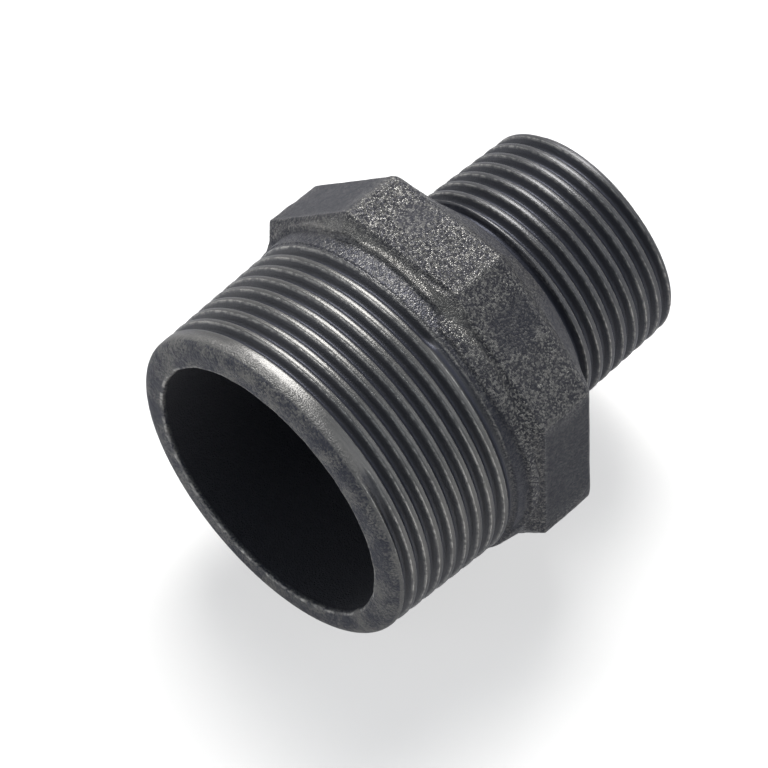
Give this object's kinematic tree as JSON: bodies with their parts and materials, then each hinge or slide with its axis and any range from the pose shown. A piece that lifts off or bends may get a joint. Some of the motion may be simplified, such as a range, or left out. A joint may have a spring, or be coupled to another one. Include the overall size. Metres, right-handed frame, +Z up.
{
  "type": "reducing nipple",
  "caption": "Pipe fitting with a larger and a smaller outside taper thread, an eight-sided wrench collar between them and a straight-through waterway.",
  "frame": {"origin": "on the axis, at the large end's face", "axes": "+X along the axis to the small end, +Z up, square to one of the collar's flats; the part lies on the opposite flat"},
  "size_m": [0.06, 0.0508, 0.0508],
  "materials": {
    "black_iron": "black malleable iron: as-cast grain on the collar, machined threads with bright worn crests"
  },
  "bodies": {
    "root": {"nipple_body": "black_iron"}
  },
  "joints": []
}
